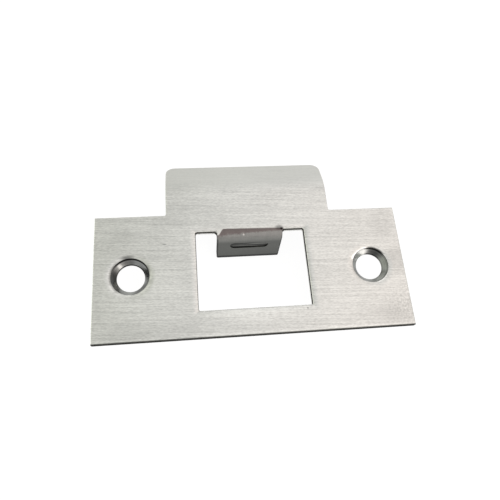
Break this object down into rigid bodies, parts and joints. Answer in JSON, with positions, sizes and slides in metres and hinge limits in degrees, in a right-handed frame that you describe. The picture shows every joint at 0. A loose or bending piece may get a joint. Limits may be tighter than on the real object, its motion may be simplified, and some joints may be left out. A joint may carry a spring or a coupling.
{
  "type": "door strike plate",
  "caption": "T-shaped door strike plate folded from brushed sheet steel, with a latch opening, a curved lip, a bent-back adjusting tang and countersunk screw holes.",
  "frame": {"origin": "midway between the two screw holes, on the back face that lies against the door jamb", "axes": "+X along the plate's length through both screw holes, +Y towards the lip, +Z out of the show face"},
  "size_m": [0.0698, 0.0428, 0.0102],
  "materials": {
    "brushed_steel_sheet": "satin, brushed along the plate's length"
  },
  "bodies": {
    "root": {"strike_plate": "brushed_steel_sheet"}
  },
  "joints": []
}
